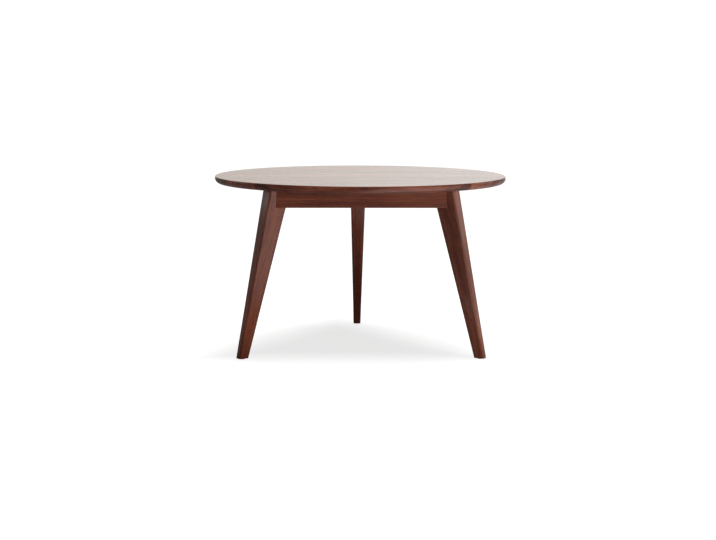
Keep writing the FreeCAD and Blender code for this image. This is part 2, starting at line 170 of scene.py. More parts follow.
class NodeSheet:
    """The node tree of a material or of the world, with short calls to add and link its nodes."""

    def __init__(self, owner: bpy.types.Material | bpy.types.World) -> None:
        """Start an empty tree with an output.

        Args:
            owner: The material or world.
        """
        owner.use_nodes = True
        self.owner = owner
        self.tree = owner.node_tree
        self.tree.nodes.clear()
        outdoors = isinstance(owner, bpy.types.World)
        self.output = self.add("ShaderNodeOutputWorld" if outdoors else "ShaderNodeOutputMaterial", {})

    @classmethod
    def named(cls, name: str) -> "NodeSheet":
        """Start the tree of a new material."""
        return cls(bpy.data.materials.new(name))

    def add(self, kind: str, inputs: dict[Any, Any], **settings: Any) -> bpy.types.Node:
        """Add a node.

        Args:
            kind: The node's type.
            inputs: Input names or numbers, each with a value or a socket to link.
            settings: Values for the node's own properties.

        Returns:
            The new node.
        """
        node = self.tree.nodes.new(kind)
        for key, value in settings.items():
            setattr(node, key, value)
        for key, value in inputs.items():
            if isinstance(value, Socket):
                self.tree.links.new(value, node.inputs[key])
            else:
                node.inputs[key].default_value = value
        return node

    def math(self, operation: str, *values: Any, clamp: bool = False) -> Socket:
        """Add a Math node on numbers or sockets and return its result."""
        inputs = dict(enumerate(values))
        return self.add("ShaderNodeMath", inputs, operation=operation, use_clamp=clamp).outputs[0]

    def fold(self, operation: str, first: Socket, *others: Any) -> Socket:
        """Join values one after another with a Math operation and return the result."""
        return reduce(lambda whole, value: self.math(operation, whole, value), others, first)

    def vector(self, operation: str, *values: Any) -> Socket:
        """Add a Vector Math node on vectors or sockets and return its result."""
        node = self.add("ShaderNodeVectorMath", dict(enumerate(values)), operation=operation)
        return node.outputs["Value" if operation in ("LENGTH", "DOT_PRODUCT") else "Vector"]

    def parts(self, vector: Socket) -> tuple[Socket, ...]:
        """Split a vector into its x, y and z."""
        return tuple(self.add("ShaderNodeSeparateXYZ", {0: vector}).outputs)

    def read(self, what: str) -> Socket:
        """Read a texture coordinate of the piece or of the world."""
        return self.add("ShaderNodeTexCoord", {}).outputs[what]

    def eased(self) -> Socket:
        """Read how far a point is on an eased edge."""
        return self.add("ShaderNodeAttribute", {}, attribute_name=WEAR_AND_SHADE).outputs["Fac"]

    def noise(self, place: Socket, layer: Noise, output: int | str = 0) -> Socket:
        """Add stretched noise.

        Args:
            place: Where the noise is read.
            layer: The noise.
            output: Which of its outputs.

        Returns:
            The noise's factor, or the output asked for.
        """
        spread = self.vector("MULTIPLY", place, layer.stretch)
        inputs = {"Vector": spread, "Scale": 1.0, "Detail": layer.detail, "Roughness": layer.rough}
        return self.add("ShaderNodeTexNoise", inputs).outputs[output]

    def marks(self, place: Socket, layer: Noise) -> Socket:
        """Add stretched noise whose usual range is spread from 0 to 1."""
        return self.spread(self.noise(place, layer), *layer.span)

    def drift(self, along: Socket, scale: float, detail: float) -> Socket:
        """Add noise along a line and return its factor."""
        inputs = {"W": along, "Scale": scale, "Detail": detail}
        return self.add("ShaderNodeTexNoise", inputs, noise_dimensions="1D").outputs[0]

    def spread(self, value: Socket, low: float, high: float, start: Any = 0.0, end: Any = 1.0) -> Socket:
        """Stretch a range of a value smoothly to another range.

        Args:
            value: The value to stretch.
            low: Value that gives start.
            high: Value that gives end.
            start: Result at or below low, a number or a socket.
            end: Result at or above high, a number or a socket.

        Returns:
            The stretched value.
        """
        inputs = dict(enumerate((value, low, high, start, end)))
        return self.add("ShaderNodeMapRange", inputs, interpolation_type="SMOOTHSTEP").outputs[0]

    def ramp(self, value: Socket, stops: Sequence[tuple[float, Colour]]) -> Socket:
        """Add a colour ramp.

        Args:
            value: Place on the ramp.
            stops: Places with their colours, in order.

        Returns:
            The ramp's colour.
        """
        node = self.add("ShaderNodeValToRGB", {0: value})
        elements = node.color_ramp.elements
        while len(elements) < len(stops):
            elements.new(0.5)
        for element, (place, colour) in zip(elements, stops):
            element.position = place
            element.color = (*colour, 1.0)
        return node.outputs[0]

    def mix(self, share: Any, first: Any, second: Any) -> Socket:
        """Mix two colours.

        Args:
            share: How much of the second colour there is.
            first: A socket or a colour.
            second: A socket or a colour.

        Returns:
            The mixed colour.
        """
        inputs = {MIX_SHARE: share}
        for key, value in ((MIX_FIRST, first), (MIX_SECOND, second)):
            inputs[key] = value if isinstance(value, Socket) else (*value, 1.0)
        return self.add("ShaderNodeMix", inputs, data_type="RGBA").outputs[MIX_RESULT]

    def place(self, centre: Vector = Vector(), turn: Euler = Euler()) -> Socket:
        """Read the piece's own coordinates, centred and turned."""
        inputs = {"Vector": self.read("Object"), "Location": centre, "Rotation": turn}
        return self.add("ShaderNodeMapping", inputs, vector_type="TEXTURE").outputs[0]

    def bump(self, height: Socket, depth: float, strength: float = 1.0) -> Socket:
        """Turn heights into the normal of a relief."""
        inputs = {"Height": height, "Distance": depth, "Strength": strength}
        return self.add("ShaderNodeBump", inputs).outputs[0]

    def close(self, kind: str, inputs: dict[Any, Any]) -> Any:
        """Add the last shader and link it to the output.

        Args:
            kind: The shader's type.
            inputs: Its inputs.

        Returns:
            The material or world.
        """
        shader = self.add(kind, inputs)
        self.tree.links.new(shader.outputs[0], self.output.inputs["Surface"])
        return self.owner

    def surface(self, colour: Socket, rough: Socket, normal: Socket, **others: Any) -> bpy.types.Material:
        """Close the tree with a surface; the others are more inputs, with _ for each space."""
        inputs = {"Base Color": colour, "Roughness": rough, "Normal": normal}
        named = {name.replace("_", " "): value for name, value in others.items()}
        return self.close("ShaderNodeBsdfPrincipled", inputs | named)


@dataclass(frozen=True)
class Stock:
    """How a piece of wood lies in its log.

    The grain runs along the turned x axis, and the log's heart passes the centre at heart.
    A glued board has glue lines at half its width on both sides of its centre.
    Its eased edges are painted darker by edge, a painted shade, and its patches differ by mottle.
    """

    centre: Vector
    turn: Euler
    heart: Span
    shade: float = 0.0
    edge: float = 0.0
    mottle: float = 0.13
    glued_half: float = 0.0

    @property
    def grain(self) -> Vector:
        """Direction of the grain."""
        return self.turn.to_matrix() @ Vector((1.0, 0.0, 0.0))


@dataclass(frozen=True)
class Grain:
    """A wood's grain over a piece: its tone, fibres, late wood, and the waves that show in the finish."""

    tone: Socket
    fibre: Socket
    late: Socket
    wave: Socket


@dataclass(frozen=True)
class Wood:
    """A wood with growth rings, ribbons, fibres and pores, under a clear finish.

    The swings say how far a layer of noise moves the tone, the stains how much of a mark's colour
    shows, the roughs how much a mark roughens, and the rises how high it stands in the relief.
    """

    name: str
    tones: tuple[Colour, Colour, Colour, Colour]
    pore_colour: Colour
    worn_colour: Colour
    ring: float
    roughness: float
    coat: float
    coat_roughness: float
    coat_ior: float
    specular: float
    lacquer_wave: float = 0.0
    tone_places: tuple[float, ...] = (0.0, 0.36, 0.66, 1.0)
    tone_lift: float = 0.06
    slow_bend: Noise = Noise((1.5, 6.0, 6.0), 2.0)
    slow_reach: float = 0.05
    fine_bend: Noise = Noise((7.0, 55.0, 55.0), 2.0)
    fine_reach: float = 0.0035
    season: Span = (0.45, 2.0)
    season_reach: float = 3.0
    decade: Span = (0.16, 1.0)
    decade_span: Span = (0.3, 0.7)
    decade_tones: Span = (0.34, 0.62)
    late_start: Span = (0.10, 0.90)
    late_end: Span = (0.92, 1.0)
    late_shade: Span = (-0.20, -0.10)
    late_rise: float = 0.35
    ribbons: Noise = Noise((2.0, 75.0, 75.0), 2.0, 0.55)
    ribbon_swing: float = 0.13
    ribbon_wave: float = 0.12
    clouds: Noise = Noise((1.0, 10.0, 10.0))
    cloud_swing: float = 0.08
    patches: Noise = Noise((5.0, 9.0, 9.0), span=(0.32, 0.68))
    fibres: Noise = Noise((13.0, 640.0, 640.0), 3.0, 0.65)
    fibre_swing: float = 0.13
    fibre_rough: float = 0.12
    fibre_rise: float = 0.5
    pores: Noise = Noise((70.0, 1300.0, 1300.0), span=(0.59, 0.69))
    pore_stain: float = 0.6
    pore_rough: float = 0.12
    pore_rise: float = -0.8
    rubs: Noise = Noise((28.0, 60.0, 60.0), 3.0, 0.65, (0.38, 0.66))
    rub_stain: float = 0.12
    rub_rough: float = 0.10
    end_facing: Span = (0.45, 0.95)
    end_shade: float = -0.04
    glue_line: float = 0.00035
    glue_stain: float = 0.7
    relief_depth: float = 0.00012
    relief_strength: float = 0.25

    def material(self, piece: str, stock: Stock) -> bpy.types.Material:
        """Make this wood's material for one piece.

        Args:
            piece: The piece's name.
            stock: How the piece lies in its log.

        Returns:
            The material.
        """
        sheet = NodeSheet.named(f"{self.name}_{piece}")
        place = sheet.place(stock.centre, stock.turn)
        grain = self._grain(sheet, place, stock)
        pores = sheet.marks(place, self.pores)
        rubs = sheet.math("MULTIPLY", sheet.eased(), sheet.marks(place, self.rubs))
        colour = sheet.ramp(grain.tone, tuple(zip(self.tone_places, self.tones)))
        colour = sheet.mix(sheet.math("MULTIPLY", pores, self.pore_stain), colour, self.pore_colour)
        if stock.glued_half:
            colour = sheet.mix(self._glue(sheet, stock), colour, self.pore_colour)
        colour = sheet.mix(sheet.math("MULTIPLY", rubs, self.rub_stain), colour, self.worn_colour)
        smooth = self.roughness - self.fibre_rough / 2
        rough = sheet.math("MULTIPLY_ADD", grain.fibre, self.fibre_rough, smooth)
        rough = sheet.math("MULTIPLY_ADD", pores, self.pore_rough, rough)
        rough = sheet.math("MULTIPLY_ADD", rubs, self.rub_rough, rough, clamp=True)
        height = sheet.math("MULTIPLY", grain.fibre, self.fibre_rise)
        height = sheet.math("MULTIPLY_ADD", grain.late, self.late_rise, height)
        height = sheet.math("MULTIPLY_ADD", pores, self.pore_rise, height)
        lacquer = {}
        if self.lacquer_wave:
            lacquer["Coat_Normal"] = sheet.bump(grain.wave, self.lacquer_wave)
        return sheet.surface(
            colour, rough, sheet.bump(height, self.relief_depth, self.relief_strength),
            Specular_IOR_Level=self.specular, Coat_Weight=self.coat, Coat_Roughness=self.coat_roughness,
            Coat_IOR=self.coat_ior, **lacquer,
        )

    def _swayed(self, sheet: NodeSheet, place: Socket) -> Socket:
        """Bend the straight grain: long slow curves with a fine waviness on them.

        Args:
            sheet: The material's nodes.
            place: Coordinates with the grain along x.

        Returns:
            The bent coordinates.
        """
        for bend, reach in ((self.slow_bend, self.slow_reach), (self.fine_bend, self.fine_reach)):
            sway = sheet.vector("SUBTRACT", sheet.noise(place, bend, "Color"), MID_GREY)
            sway = sheet.vector("MULTIPLY", sway, (0.0, reach, reach))
            place = sheet.vector("ADD", place, sway)
        return place

    def _grain(self, sheet: NodeSheet, place: Socket, stock: Stock) -> Grain:
        """Lay out the growth rings, ribbons and fibres.

        Args:
            sheet: The material's nodes.
            place: Coordinates with the grain along x.
            stock: How the piece lies in its log.

        Returns:
            The grain.
        """
        swayed = self._swayed(sheet, place)
        across = sheet.vector("SUBTRACT", swayed, (0.0, *stock.heart))
        radius = sheet.vector("LENGTH", sheet.vector("MULTIPLY", across, (0.0, 1.0, 1.0)))
        years = sheet.math("DIVIDE", radius, self.ring)
        years = sheet.math("MULTIPLY_ADD", sheet.drift(years, *self.season), self.season_reach, years)
        year = sheet.math("FRACT", years)
        start, end = (sheet.spread(year, *span) for span in (self.late_start, self.late_end))
        late = sheet.math("SUBTRACT", start, end)
        age = sheet.add("ShaderNodeTexWhiteNoise", {"W": sheet.math("FLOOR", years)}, noise_dimensions="1D")
        depth = sheet.math("MULTIPLY_ADD", age.outputs["Value"], *self.late_shade)
        bent = (self.ribbons, self.clouds, self.patches)
        ribbon, cloud, patch = (sheet.noise(swayed, layer) for layer in bent)
        fibre = sheet.noise(place, self.fibres)
        tone = sheet.spread(sheet.drift(years, *self.decade), *self.decade_span, *self.decade_tones)
        for value, layer, swing in (
            (ribbon, self.ribbons, self.ribbon_swing), (cloud, self.clouds, self.cloud_swing),
            (patch, self.patches, stock.mottle), (fibre, self.fibres, self.fibre_swing),
        ):
            tone = sheet.math("ADD", tone, sheet.spread(value, *layer.span, -swing, swing))
        tone = sheet.math("MULTIPLY_ADD", late, depth, tone)
        facing = sheet.math("ABSOLUTE", sheet.vector("DOT_PRODUCT", sheet.read("Normal"), stock.grain))
        tone = sheet.math("ADD", tone, sheet.spread(facing, *self.end_facing, 0.0, self.end_shade))
        # Painted shade: eased edges darken by the stock's edge value.
        tone = sheet.math("MULTIPLY_ADD", sheet.eased(), -stock.edge, tone)
        tone = sheet.math("ADD", tone, self.tone_lift + stock.shade, clamp=True)
        return Grain(tone, fibre, late, sheet.math("MULTIPLY_ADD", ribbon, self.ribbon_wave, patch))

    def _glue(self, sheet: NodeSheet, stock: Stock) -> Socket:
        """Find the hairline of glue along both edges of a board."""
        across = sheet.math("ABSOLUTE", sheet.parts(sheet.place(stock.centre))[1])
        return sheet.spread(across, stock.glued_half - self.glue_line, stock.glued_half, 0.0, self.glue_stain)


@dataclass(frozen=True)
class Mottled:
    """A plain material with marks of a second colour and a fine relief, both of which change its gloss."""

    name: str
    base: Colour
    marked: Colour
    marks: Noise
    mark_stain: float
    mark_rough: float
    relief: Noise
    relief_rough: float
    relief_depth: float
    relief_strength: float
    roughness: float
    metallic: float

    def material(self) -> bpy.types.Material:
        """Make the material, or give it again.

        Returns:
            The material.
        """
        if self.name in bpy.data.materials:
            return bpy.data.materials[self.name]
        sheet = NodeSheet.named(self.name)
        place = sheet.place()
        marks, relief = sheet.marks(place, self.marks), sheet.noise(place, self.relief)
        colour = sheet.mix(sheet.math("MULTIPLY", marks, self.mark_stain), self.base, self.marked)
        rough = sheet.math("MULTIPLY_ADD", marks, self.mark_rough, self.roughness)
        rough = sheet.math("MULTIPLY_ADD", relief, self.relief_rough, rough, clamp=True)
        normal = sheet.bump(relief, self.relief_depth, self.relief_strength)
        return sheet.surface(colour, rough, normal, Metallic=self.metallic)


TABLE_WOOD = Wood(
    name="table_wood",
    tones=((0.043, 0.0095, 0.0052), (0.106, 0.0240, 0.0112), (0.176, 0.046, 0.0218), (0.27, 0.087, 0.046)),
    pore_colour=(0.034, 0.008, 0.006),
    worn_colour=(0.32, 0.13, 0.08),
    ring=0.0034,
    roughness=0.42,
    coat=1.0,
    coat_roughness=0.17,
    coat_ior=1.22,
    specular=0.22,
    lacquer_wave=0.0034,
)
BLOCK_WOOD = Wood(
    name="block_wood",
    tones=((0.24, 0.13, 0.062), (0.36, 0.215, 0.112), (0.46, 0.295, 0.165), (0.56, 0.385, 0.23)),
    pore_colour=(0.20, 0.11, 0.055),
    worn_colour=(0.52, 0.38, 0.24),
    ring=0.0035,
    roughness=0.62,
    coat=0.0,
    coat_roughness=0.3,
    coat_ior=1.4,
    specular=0.3,
)
STEEL = Mottled(
    name="zinc_steel",
    base=(0.44, 0.45, 0.46),
    marked=(0.62, 0.63, 0.63),
    marks=Noise((190.0, 190.0, 190.0), 3.0, 0.6, (0.35, 0.65)),
    mark_stain=1.0,
    mark_rough=-0.12,
    relief=Noise((900.0, 900.0, 2600.0), 2.0, 0.6),
    relief_rough=0.12,
    relief_depth=0.00005,
    relief_strength=0.15,
    roughness=0.40,
    metallic=1.0,
)
NYLON = Mottled(
    name="nylon",
    base=(0.062, 0.046, 0.038),
    marked=(0.15, 0.125, 0.11),
    marks=Noise((260.0, 900.0, 500.0), 3.0, 0.6, (0.50, 0.68)),
    mark_stain=0.6,
    mark_rough=0.0,
    relief=Noise((2400.0, 2400.0, 2400.0), 2.0),
    relief_rough=0.2,
    relief_depth=0.00006,
    relief_strength=0.2,
    roughness=0.42,
    metallic=0.0,
)


def started(name: str, primitive: Callable[..., Any], **sizes: Any) -> Piece:
    """Add a primitive to be shaped, with nothing else selected.

    Args:
        name: The piece's name.
        primitive: The operator that adds it.
        sizes: Its sizes and place.

    Returns:
        The new object, at the origin, unturned and unscaled.
    """
    bpy.ops.object.select_all(action="DESELECT")
    primitive(**sizes)
    piece = bpy.context.active_object
    piece.name = piece.data.name = name
    bpy.ops.object.transform_apply(location=True, rotation=True, scale=True)
    return piece


@contextmanager
def alone(piece: Piece) -> Iterator[None]:
    """Keep a piece active and selected, and nothing else.

    Args:
        piece: The piece to work on.
    """
    bpy.ops.object.select_all(action="DESELECT")
    bpy.context.view_layer.objects.active = piece
    piece.select_set(True)
    yield
    piece.select_set(False)


@contextmanager
def shaping(piece: Piece) -> Iterator[None]:
    """Keep a piece in edit mode, alone, with nothing selected in it.

    Args:
        piece: The piece to shape.
    """
    with alone(piece):
        bpy.ops.object.mode_set(mode="EDIT")
        bpy.ops.mesh.select_mode(type="VERT")
        bpy.ops.mesh.select_all(action="DESELECT")
        yield
        bpy.ops.object.mode_set(mode="OBJECT")


def pick(piece: Piece, kind: str, test: Callable[[Any], bool]) -> None:
    """Select the parts of a piece in edit mode that pass a test, and no others.

    Args:
        piece: The piece in edit mode.
        kind: VERT, EDGE or FACE.
        test: Says whether a vertex, edge or face is wanted.
    """
    bpy.ops.mesh.select_mode(type=kind)
    bpy.ops.mesh.select_all(action="DESELECT")
    mesh = bmesh.from_edit_mesh(piece.data)
    for part in {"VERT": mesh.verts, "EDGE": mesh.edges, "FACE": mesh.faces}[kind]:
        if test(part):
            part.select_set(True)
    bmesh.update_edit_mesh(piece.data)


def keep_side(point: Vector, away: Vector) -> None:
    """Saw the piece in edit mode along a plane, and drop what lies on the away side."""
    bpy.ops.mesh.select_all(action="SELECT")
    bpy.ops.mesh.bisect(plane_co=point, plane_no=away, use_fill=True, clear_outer=True, threshold=WELD)


def round_edges(size: float, steps: int) -> None:
    """Round the picked edges of the piece in edit mode."""
    bpy.ops.mesh.bevel(offset=size, segments=steps, profile=QUARTER_ROUND, affect="EDGES")


def welded(distance: float) -> None:
    """Merge the doubles of the piece in edit mode and turn its faces outwards.

    Args:
        distance: How near doubles lie.
    """
    bpy.ops.mesh.select_all(action="SELECT")
    bpy.ops.mesh.remove_doubles(threshold=distance)
    bpy.ops.mesh.normals_make_consistent(inside=False)


def copied(piece: Piece, name: str, move: Matrix = Matrix()) -> Piece:
    """Copy a piece with its own mesh, and put the copy in its place.

    Args:
        piece: The piece to copy.
        name: The copy's name.
        move: Turn and shift to the copy's place.

    Returns:
        The copy.
    """
    copy = piece.copy()
    copy.data = piece.data.copy()
    copy.name = copy.data.name = name
    copy.data.transform(move)
    bpy.context.scene.collection.objects.link(copy)
    return copy


def dropped(piece: Piece) -> None:
    """Delete a pattern piece or a tool that has been used."""
    bpy.data.meshes.remove(piece.data)


def smoothed(piece: Piece, degrees: float = SHARP) -> Piece:
    """Shade a piece smooth except across sharp edges.

    Args:
        piece: The piece.
        degrees: Angle past which an edge is sharp.

    Returns:
        The piece.
    """
    with alone(piece):
        bpy.ops.object.shade_smooth_by_angle(angle=math.radians(degrees))
    return piece


def applied(piece: Piece, change: bpy.types.Modifier) -> None:
    """Make a modifier's change final."""
    with alone(piece):
        bpy.ops.object.modifier_apply(modifier=change.name)


def combined(piece: Piece, tool: Piece, how: Joining) -> None:
    """Change a piece with a tool, and delete the tool.

    Args:
        piece: The piece to change.
        tool: The shape that is added, cut away or kept in common.
        how: Which of these.
    """
    change = piece.modifiers.new(how.name, "BOOLEAN")
    change.operation = how.value
    change.solver = "EXACT"
    change.object = tool
    applied(piece, change)
    dropped(tool)


def turned(name: str, profile: Profile, sides: int, move: Matrix = Matrix(), ring: bool = False) -> Piece:
    """Turn a shape about +Z, as on a lathe.

    Args:
        name: The piece's name.
        profile: Radius and level of each step, from the lowest level up, or round a ring's section.
        sides: Number of sides.
        move: Turn and shift to the shape's place.
        ring: Whether the profile closes on itself, which leaves a hole.

    Returns:
        The piece.
    """
    radius, level = profile[0]
    piece = started(
        name, bpy.ops.mesh.primitive_circle_add, vertices=sides, radius=radius,
        fill_type="NOTHING" if ring else "NGON", location=(0.0, 0.0, level),
    )
    steps = (*profile[1:], profile[0]) if ring else profile[1:]
    with shaping(piece):
        bpy.ops.mesh.select_all(action="SELECT")
        for next_radius, next_level in steps:
            lift = {"value": (0.0, 0.0, next_level - level)}
            bpy.ops.mesh.extrude_region_move(TRANSFORM_OT_translate=lift)
            growth = next_radius / radius
            bpy.ops.transform.resize(value=(growth, growth, 1.0), center_override=(0.0, 0.0, next_level))
            radius, level = next_radius, next_level
        welded(WELD)
    piece.data.transform(move)
    return piece


def arc(centre: Span, half_axes: Span, start: float, end: float, steps: int) -> Profile:
    """Give the points of an elliptic arc in a turned profile.

    Args:
        centre: Radius and level of its centre.
        half_axes: Its half width and half height.
        start: Angle of the first point from outwards, in degrees.
        end: Angle of the last point.
        steps: Number of runs between the points.

    Returns:
        Radius and level of each point.
    """
    angles = (math.radians(start + (end - start) * step / steps) for step in range(steps + 1))
    return tuple(
        (centre[0] + half_axes[0] * math.cos(angle), centre[1] + half_axes[1] * math.sin(angle))
        for angle in angles
    )


@dataclass(frozen=True)
class DomedHead:
    """A turned head with a domed face, along +Z up to its seat at zero."""

    face: float
    radius: float
    height: float
    side: float
    edge: float
    steps: int

    def profile(self) -> Profile:
        """Give the head's profile.

        Returns:
            Radius and level of each step, from the face to the seat.
        """
        dome = (self.radius - self.face, self.height - self.side)
        rounded = arc((self.face, -self.side), dome, -90.0, 0.0, self.steps)
        return (*rounded, (self.radius, -self.edge), (self.radius - self.edge, 0.0))


def block_corner() -> float:
    """Work out the distance along a rail from its middle to the inner end of a corner block.

    Returns:
        The distance.
    """
    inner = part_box("corner_block_rear")[0].y
    rail_back = -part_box("rail_front")[1].y
    return (inner - rail_back * math.cos(LEG_TO_RAIL)) / math.sin(LEG_TO_RAIL)


def drill(radius: float, low: float, high: float, move: Matrix) -> Piece:
    """Model a drill that bores from one level to another along +Z, then put it in its place."""
    profile = ((radius, low), (radius, high - radius * DRILL_CONE), (radius * DRILL_TIP, high))
    return turned("drill", profile, DRILL_SIDES, move)


# The stored share drives both the wear and the painted shade on eased edges.
def mark_wear_and_shade(piece: Piece, lie: Callable[[Vector, Vector], Sequence[float]]) -> None:
    """Store how far each point is on an eased edge, from 0 on a face to 1 on the edge's middle.

    Args:
        piece: The piece.
        lie: Gives the shares of a point's normal along the piece's faces.
    """
    layer = piece.data.attributes.new(WEAR_AND_SHADE, "FLOAT", "POINT")
    for vertex in piece.data.vertices:
        second = sorted(abs(share) for share in lie(vertex.co, vertex.normal))[-2]
        layer.data[vertex.index].value = min(1.0, max(0.0, (second - WEAR_AND_SHADE_START) / WEAR_AND_SHADE_SPAN))


def fitted(piece: Piece, material: bpy.types.Material, node: str) -> None:
    """Dress a new piece, set it on the table's body and let it stand for its CAD node.

    Args:
        piece: The new piece.
        material: The piece's finish.
        node: The CAD node that it stands for, alone or with others.
    """
    piece.data.materials.clear()
    piece.data.materials.append(material)
    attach(piece, BODY)
    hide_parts(node)
    LOG.info("piece %s: %d faces", piece.name, len(piece.data.polygons))


def fastened(pattern: Piece, node: str, places: Iterable[tuple[str, Matrix]]) -> None:
    """Copy a steel fastening to its places, and delete the pattern.

    Args:
        pattern: The fastening, whose name starts its copies' names.
        node: The CAD node that the copies stand for.
        places: The end of each copy's name, and its place.
    """
    for label, move in places:
        fitted(copied(pattern, f"{pattern.name}_{label}", move), STEEL.material(), node)
    dropped(pattern)


def dressed(node: str, material: bpy.types.Material) -> None:
    """Give a CAD node that stays its finish.

    Args:
        node: The CAD node.
        material: Its finish.
    """
    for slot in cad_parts[node].material_slots:
        slot.material = material
    LOG.info("node %s: %s", node, material.name)


@dataclass
class TableTop:
    """The round top, glued up from boards that run from left to right, with one shade for each."""

    clips: "TopClips"
    arris: float = 0.0025
    arris_steps: int = 4
    under_round: float = 0.012
    under_steps: int = 12
    support: float = 0.004
    sides: int = 240
    pilot: float = 0.0126
    # Painted shade: the front board's darker shade and the darker upper arris (edge) stand in for shade on
    # the front rim; the other boards' shades differ from board to board.
    shades: tuple[float, ...] = (-0.14, 0.06, -0.08, 0.10, -0.03, 0.08, -0.07)
    edge: float = 0.15
    mottle: float = 0.06
    grain_shift: float = 0.5
    grain_dip: float = 0.012
    grain_skew: float = 0.02
    heart_aside: float = 0.07
    heart_away: Span = (0.05, 0.11)
    seed: int = 16
    radius: float = field(init=False)
    lower: float = field(init=False)
    upper: float = field(init=False)

    def __post_init__(self) -> None:
        """Take the top's size from the frame."""
        low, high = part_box("top_board_4")
        self.radius, self.lower, self.upper = high.x, low.z, high.z

    def disc(self) -> Piece:
        """Model the whole top: upper edge eased, large round under the rim.

        Returns:
            The disc.
        """
        disc = started(
            "top_disc", bpy.ops.mesh.primitive_cylinder_add, vertices=self.sides, radius=self.radius,
            depth=self.upper - self.lower, location=(0.0, 0.0, (self.lower + self.upper) / 2),
        )
        edges = (
            (self.upper, self.arris, self.arris_steps),
            (self.lower, self.under_round, self.under_steps),
        )
        with shaping(disc):
            for level, size, steps in edges:
                pick(disc, "EDGE", lambda edge: all(abs(v.co.z - level) < HAIR for v in edge.verts))
                round_edges(size, steps)
            pick(disc, "FACE", lambda face: abs(face.normal.z) > LEVEL)
            bpy.ops.mesh.inset(thickness=self.support, use_individual=True)
        mark_wear_and_shade(disc, lambda point, normal: (normal.xy.dot(point.xy.normalized()), max(normal.z, 0.0)))
        start, end = self.lower - self.clips.inset, self.lower + self.pilot
        for _, spot in self.clips.spots(self.clips.spacing):
            combined(disc, drill(self.clips.hole, start, end, spot), Joining.CUT)
        return disc

    def build(self) -> None:
        """Saw the disc into its boards and dress them."""
        disc = self.disc()
        width = 2 * self.radius / len(self.shades)
        draw = Draw(self.seed)
        for number, shade in enumerate(self.shades, start=1):
            name = f"top_board_{number}"
            board = copied(disc, f"{name}_wood")
            front = -self.radius + (number - 1) * width
            back = front + width
            with shaping(board):
                keep_side(Vector((0.0, back, 0.0)), Vector((0.0, 1.0, 0.0)))
                keep_side(Vector((0.0, front, 0.0)), Vector((0.0, -1.0, 0.0)))
            smoothed(board)
            centre = Vector((draw.within(self.grain_shift), (front + back) / 2, self.lower))
            turn = Euler((0.0, draw.within(self.grain_dip), draw.within(self.grain_skew)))
            heart = (draw.within(self.heart_aside), draw.choice((-1, 1)) * draw.uniform(*self.heart_away))
            stock = Stock(centre, turn, heart, shade, self.edge, self.mottle, width / 2)
            fitted(board, TABLE_WOOD.material(name, stock), name)
        dropped(disc)


